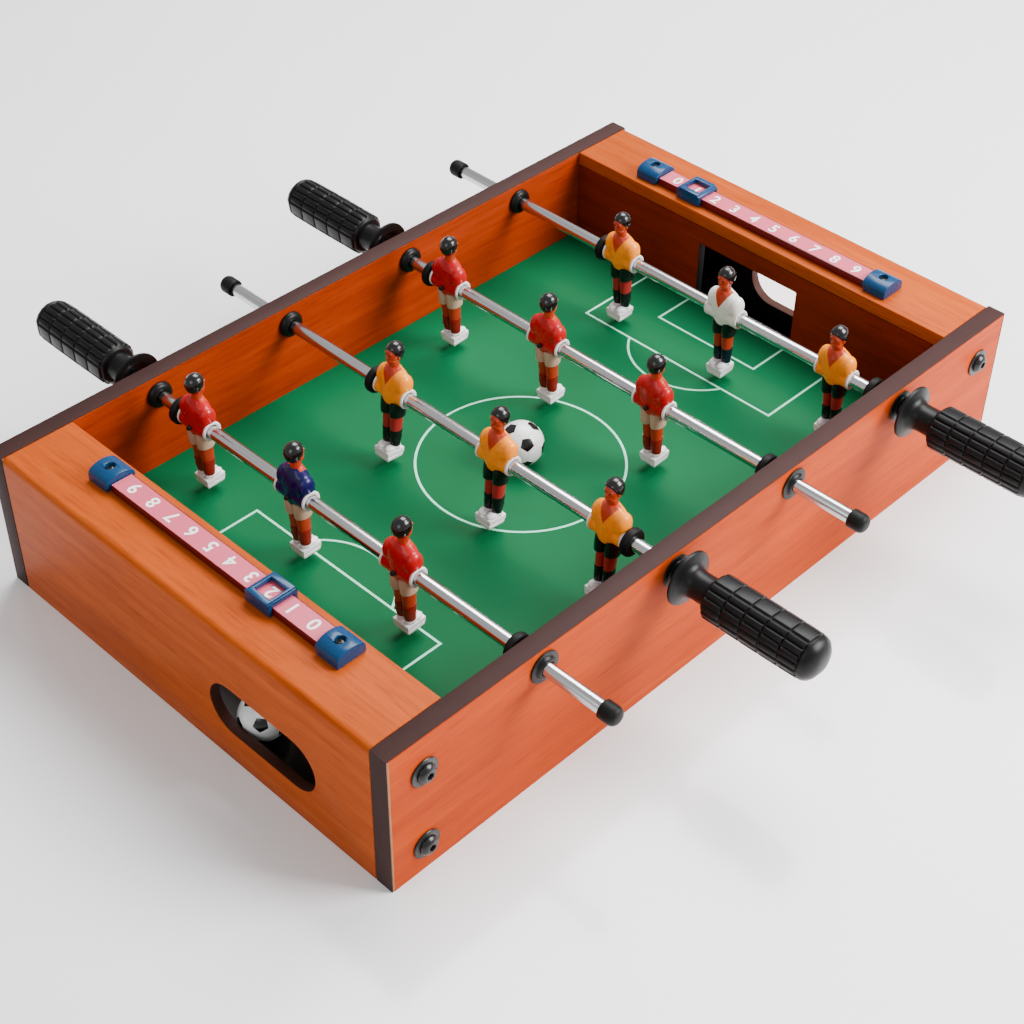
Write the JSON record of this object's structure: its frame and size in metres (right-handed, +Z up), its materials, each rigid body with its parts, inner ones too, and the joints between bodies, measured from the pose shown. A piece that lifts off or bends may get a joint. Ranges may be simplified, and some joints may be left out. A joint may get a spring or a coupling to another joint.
{
  "type": "tabletop foosball table",
  "caption": "Wooden tabletop football game: a box with a green field, steel rods of men that slide and spin, end pockets, sliding scorers and balls.",
  "frame": {"origin": "middle of the footprint, on the surface that the table stands on", "axes": "+Z up; X along the table from goal to goal; Y along the rods. Rods 1 and 3 have their handles at +Y, rods 2 and 4 at -Y."},
  "size_m": [0.51, 0.5194, 0.1186],
  "materials": {
    "wood": "orange-brown wood-grain laminate on fibreboard, satin",
    "dark_wood": "dark red-brown stained board, satin",
    "field_green": "printed green playing surface with pale lines, semi-gloss",
    "black_plastic": "moulded black plastic, semi-gloss",
    "rubber": "black rubber",
    "steel": "plated steel bar, polished",
    "red_player": "painted moulded plastic, red shirt",
    "yellow_player": "painted moulded plastic, amber shirt",
    "blue_player": "painted moulded plastic, blue shirt",
    "white_player": "painted moulded plastic, white shirt",
    "scorer_pink": "pink printed top over dark red sides",
    "scorer_blue": "blue moulded plastic",
    "ball_white": "white ball with black patches"
  },
  "bodies": {
    "table": {"bumper_1_near": "rubber", "bumper_3_near": "rubber", "bumper_4_near": "rubber", "bushing_1_far": "black_plastic", "bushing_1_near": "black_plastic", "bushing_2_far": "black_plastic", "bushing_2_near": "black_plastic", "bushing_3_far": "black_plastic", "bushing_3_near": "black_plastic", "bushing_4_far": "black_plastic", "bushing_4_near": "black_plastic", "end_cover_left": "wood", "end_cover_right": "wood", "goal_wall_left": "dark_wood", "goal_wall_right": "dark_wood", "playfield": "field_green", "pocket_floor_left": "dark_wood", "pocket_floor_right": "dark_wood", "scorer_cap_left_far": "scorer_blue", "scorer_cap_left_near": "scorer_blue", "scorer_cap_right_far": "scorer_blue", "scorer_cap_right_near": "scorer_blue", "scorer_rail_left": "scorer_pink", "scorer_rail_right": "scorer_pink", "side_panel_far": "wood", "side_panel_near": "wood"},
    "rod_1_carriage": {"bumper_1_far": "rubber"},
    "rod_1_turning": {"rod_1": "steel", "handle_1": "black_plastic", "end_cap_1": "rubber", "player_1_near": "red_player", "player_1_middle": "blue_player", "player_1_far": "red_player"},
    "rod_2_carriage": {"bumper_2_near": "rubber", "bumper_2_far": "rubber"},
    "rod_2_turning": {"rod_2": "steel", "handle_2": "black_plastic", "end_cap_2": "rubber", "player_2_near": "yellow_player", "player_2_middle": "yellow_player", "player_2_far": "yellow_player"},
    "rod_3_carriage": {"bumper_3_far": "rubber"},
    "rod_3_turning": {"rod_3": "steel", "handle_3": "black_plastic", "end_cap_3": "rubber", "player_3_near": "red_player", "player_3_middle": "red_player", "player_3_far": "red_player"},
    "rod_4_carriage": {"bumper_4_far": "rubber"},
    "rod_4_turning": {"rod_4": "steel", "handle_4": "black_plastic", "end_cap_4": "rubber", "player_4_near": "yellow_player", "player_4_middle": "white_player", "player_4_far": "yellow_player"},
    "score_slider_left_body": {"score_slider_left": "scorer_blue"},
    "score_slider_right_body": {"score_slider_right": "scorer_blue"},
    "play_ball": {"ball_in_play": "ball_white"},
    "pocket_ball": {"ball_in_pocket": "ball_white"}
  },
  "joints": [
    {"name": "rod_1_slide", "type": "slide", "parent": "table", "child": "rod_1_carriage", "axis": [0, 1, 0], "range_m": [-0.0075, 0.015]},
    {"name": "rod_1_spin", "type": "hinge", "parent": "rod_1_carriage", "child": "rod_1_turning", "pos_m": [-0.14925, 0, 0.084], "axis": [0, 1, 0], "continuous": true},
    {"name": "rod_2_slide", "type": "slide", "parent": "table", "child": "rod_2_carriage", "axis": [0, 1, 0], "range_m": [-0.012, 0.0075]},
    {"name": "rod_2_spin", "type": "hinge", "parent": "rod_2_carriage", "child": "rod_2_turning", "pos_m": [-0.04975, 0, 0.084], "axis": [0, 1, 0], "continuous": true},
    {"name": "rod_3_slide", "type": "slide", "parent": "table", "child": "rod_3_carriage", "axis": [0, 1, 0], "range_m": [-0.0075, 0.015]},
    {"name": "rod_3_spin", "type": "hinge", "parent": "rod_3_carriage", "child": "rod_3_turning", "pos_m": [0.04975, 0, 0.084], "axis": [0, 1, 0], "continuous": true},
    {"name": "rod_4_slide", "type": "slide", "parent": "table", "child": "rod_4_carriage", "axis": [0, 1, 0], "range_m": [-0.012, 0.0075]},
    {"name": "rod_4_spin", "type": "hinge", "parent": "rod_4_carriage", "child": "rod_4_turning", "pos_m": [0.14925, 0, 0.084], "axis": [0, 1, 0], "continuous": true},
    {"name": "score_slide_left", "type": "slide", "parent": "table", "child": "score_slider_left_body", "axis": [0, 1, 0], "range_m": [-0.0324, 0.1134]},
    {"name": "score_slide_right", "type": "slide", "parent": "table", "child": "score_slider_right_body", "axis": [0, 1, 0], "range_m": [-0.1296, 0.0162]},
    {"name": "play_ball_roll", "type": "slide", "parent": "table", "child": "play_ball", "axis": [0, 1, 0], "range_m": [-0.13, 0.13]},
    {"name": "pocket_ball_roll", "type": "slide", "parent": "table", "child": "pocket_ball", "axis": [0, 1, 0], "range_m": [-0.095, 0.173]}
  ]
}
